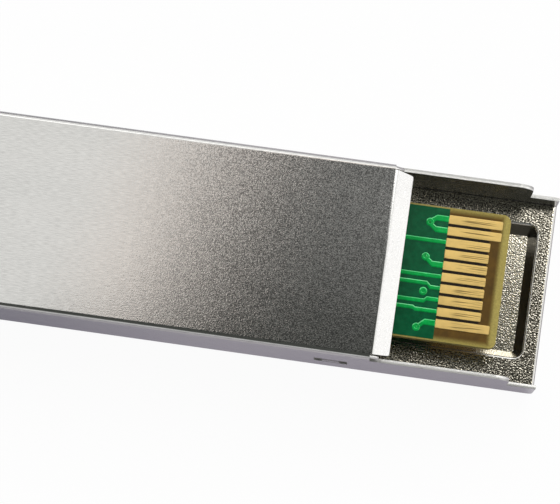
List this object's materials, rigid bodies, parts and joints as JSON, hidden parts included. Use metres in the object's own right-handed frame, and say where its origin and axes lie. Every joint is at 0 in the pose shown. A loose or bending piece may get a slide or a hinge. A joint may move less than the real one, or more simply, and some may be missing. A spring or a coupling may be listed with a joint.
{
  "type": "optical transceiver module",
  "caption": "Pluggable optical transceiver: cast housing, folded sheet cover open over a gold card edge, duplex fibre ports, spring collar, rocking latch and swing bail.",
  "frame": {"origin": "middle of the footprint on the flat hood face that the module lies on", "axes": "+X from the fibre ports to the rear card edge, +Z away from the hood face, out of the latch side"},
  "size_m": [0.0578, 0.0148, 0.0097],
  "materials": {
    "cast_zinc": "nickel plated zinc casting, coarse grain",
    "cover_sheet": "satin nickel plated sheet",
    "board": "solder mask on glass laminate",
    "contact_gold": "hard gold",
    "barrel_steel": "turned stainless",
    "sleeve_ceramic": "zirconia",
    "can_gold": "gold plated header",
    "flex_film": "polyimide film",
    "retainer_plastic": "glass filled plastic",
    "chip_black": "moulded package",
    "inductor_grey": "ferrite",
    "capacitor_tan": "ceramic",
    "resistor_black": "glazed chip",
    "thermal_silicone": "gap filler",
    "collar_spring": "plated spring copper",
    "bail_steel": "plated steel",
    "lever_steel": "plated steel",
    "spring_steel": "spring strip"
  },
  "bodies": {
    "housing": {"base_housing": "cast_zinc", "cover": "cover_sheet", "circuit_board": "board", "edge_contacts_open_side": "contact_gold", "edge_contacts_hood_side": "contact_gold", "tosa_barrel": "barrel_steel", "tosa_sleeve": "sleeve_ceramic", "tosa_can": "can_gold", "tosa_flex": "flex_film", "rosa_barrel": "barrel_steel", "rosa_sleeve": "sleeve_ceramic", "rosa_can": "can_gold", "rosa_flex": "flex_film", "osa_retainer": "retainer_plastic", "laser_driver_chip": "chip_black", "receiver_chip": "chip_black", "controller_chip": "chip_black", "memory_chip": "chip_black", "power_inductors": "inductor_grey", "bypass_capacitors": "capacitor_tan", "resistors": "resistor_black", "thermal_pad": "thermal_silicone", "emi_collar": "collar_spring", "lever_pin": "bail_steel", "latch_spring": "spring_steel"},
    "bail": {"bail": "bail_steel", "bail_shaft": "bail_steel"},
    "lever": {"latch_lever": "lever_steel"}
  },
  "joints": [
    {"name": "bail_swing", "type": "hinge", "parent": "housing", "child": "bail", "pos_m": [-0.02535, 0, 0.0079], "axis": [0, 1, 0], "range_deg": [0, 90]},
    {"name": "lever_rock", "type": "hinge", "parent": "housing", "child": "lever", "pos_m": [-0.02115, 0, 0.00822], "axis": [0, 1, 0], "range_deg": [0, 6.2], "deforming": ["latch_spring"]}
  ],
  "couplings": [
    {"joint": "lever_rock", "follows": "bail_swing", "ratio": 0.066667}
  ]
}
